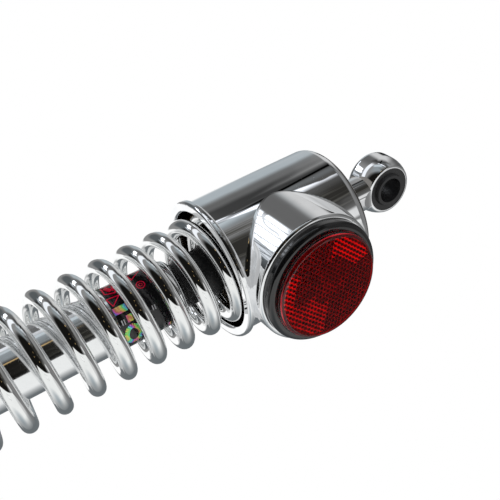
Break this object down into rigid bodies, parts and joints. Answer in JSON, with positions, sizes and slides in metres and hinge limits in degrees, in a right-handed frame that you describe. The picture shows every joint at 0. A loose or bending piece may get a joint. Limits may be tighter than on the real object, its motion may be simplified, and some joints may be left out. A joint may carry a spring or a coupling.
{
  "type": "rear shock absorber",
  "caption": "Motorcycle rear shock absorber: coil spring round an oil damper, with a chromed cover, a side reflector and a rubber-bushed eye at each end.",
  "frame": {"origin": "centre of the upper eye's bore", "axes": "+Z along the shock's axis, away from the lower eye; +Y along the eyes' axis, away from the side reflector"},
  "size_m": [0.0634, 0.0767, 0.3683],
  "materials": {
    "chrome": "bright polished chrome plate",
    "spring_chrome": "bright chrome plate over spring wire",
    "tube_chrome": "chrome plate over drawn tube, faint drawing lines",
    "satin_steel": "satin turned steel",
    "zinc_steel": "zinc-plated steel",
    "bare_steel": "oiled bare steel",
    "sintered_iron": "sintered, oil-soaked",
    "black_rubber": "moulded rubber, slightly shiny",
    "seal_polymer": "smooth seal rubber",
    "black_plastic": "glossy black moulding",
    "red_lens": "clear red prismatic lens",
    "label_film": null
  },
  "bodies": {
    "upper_mount": {"upper_eye_bush": "black_rubber"},
    "rod": {"upper_eye": "chrome", "rod_locknut": "zinc_steel", "upper_spring_seat": "zinc_steel", "seat_isolator": "black_rubber", "spring": "spring_chrome", "rebound_spring": "bare_steel", "piston_rod": "chrome", "check_plate": "bare_steel", "piston": "sintered_iron", "piston_ring": "seal_polymer", "rebound_shims": "bare_steel", "piston_nut": "zinc_steel"},
    "cover": {"shroud": "chrome", "reflector_housing": "black_plastic", "reflector_back_plate": "black_plastic", "reflector_lens": "red_lens"},
    "stop": {"bump_stop": "black_rubber"},
    "lower_seat": {"lower_spring_seat": "chrome"},
    "damper": {"damper_tube": "tube_chrome", "seal_cap": "satin_steel", "oil_seal": "seal_polymer", "rod_guide": "sintered_iron", "inner_tube": "bare_steel", "foot_valve": "sintered_iron", "foot_valve_shim": "bare_steel", "foot_valve_rivet": "bare_steel", "base_cap": "bare_steel", "tube_label": "label_film", "seat_circlip": "bare_steel", "lower_eye": "chrome", "lower_eye_bush": "black_rubber"},
    "lower_mount": {"lower_eye_sleeve": "zinc_steel"}
  },
  "joints": [
    {"name": "upper_eye_twist", "type": "hinge", "parent": "upper_mount", "child": "rod", "pos_m": [0, 0, 0], "axis": [0, 1, 0], "range_deg": [-10, 10], "stiffness_Nm_per_rad": 6},
    {"name": "cover_turn", "type": "hinge", "parent": "rod", "child": "cover", "pos_m": [0, 0, 0], "axis": [0, 0, 1], "continuous": true},
    {"name": "compression", "type": "slide", "parent": "rod", "child": "lower_seat", "axis": [0, 0, 1], "range_m": [0, 0.046], "stiffness_N_per_m": 12500, "springref_m": -0.012, "deforming": ["spring"]},
    {"name": "stop_slide", "type": "slide", "parent": "rod", "child": "stop", "axis": [0, 0, 1], "range_m": [0, 0.046]},
    {"name": "damper_swivel", "type": "hinge", "parent": "lower_seat", "child": "damper", "pos_m": [0, 0, -0.29], "axis": [0, 0, 1], "continuous": true},
    {"name": "lower_eye_twist", "type": "hinge", "parent": "damper", "child": "lower_mount", "pos_m": [0, 0, -0.34], "axis": [0, 1, 0], "range_deg": [-10, 10], "stiffness_Nm_per_rad": 2}
  ],
  "couplings": [
    {"joint": "stop_slide", "follows": "compression", "ratio": 1}
  ]
}
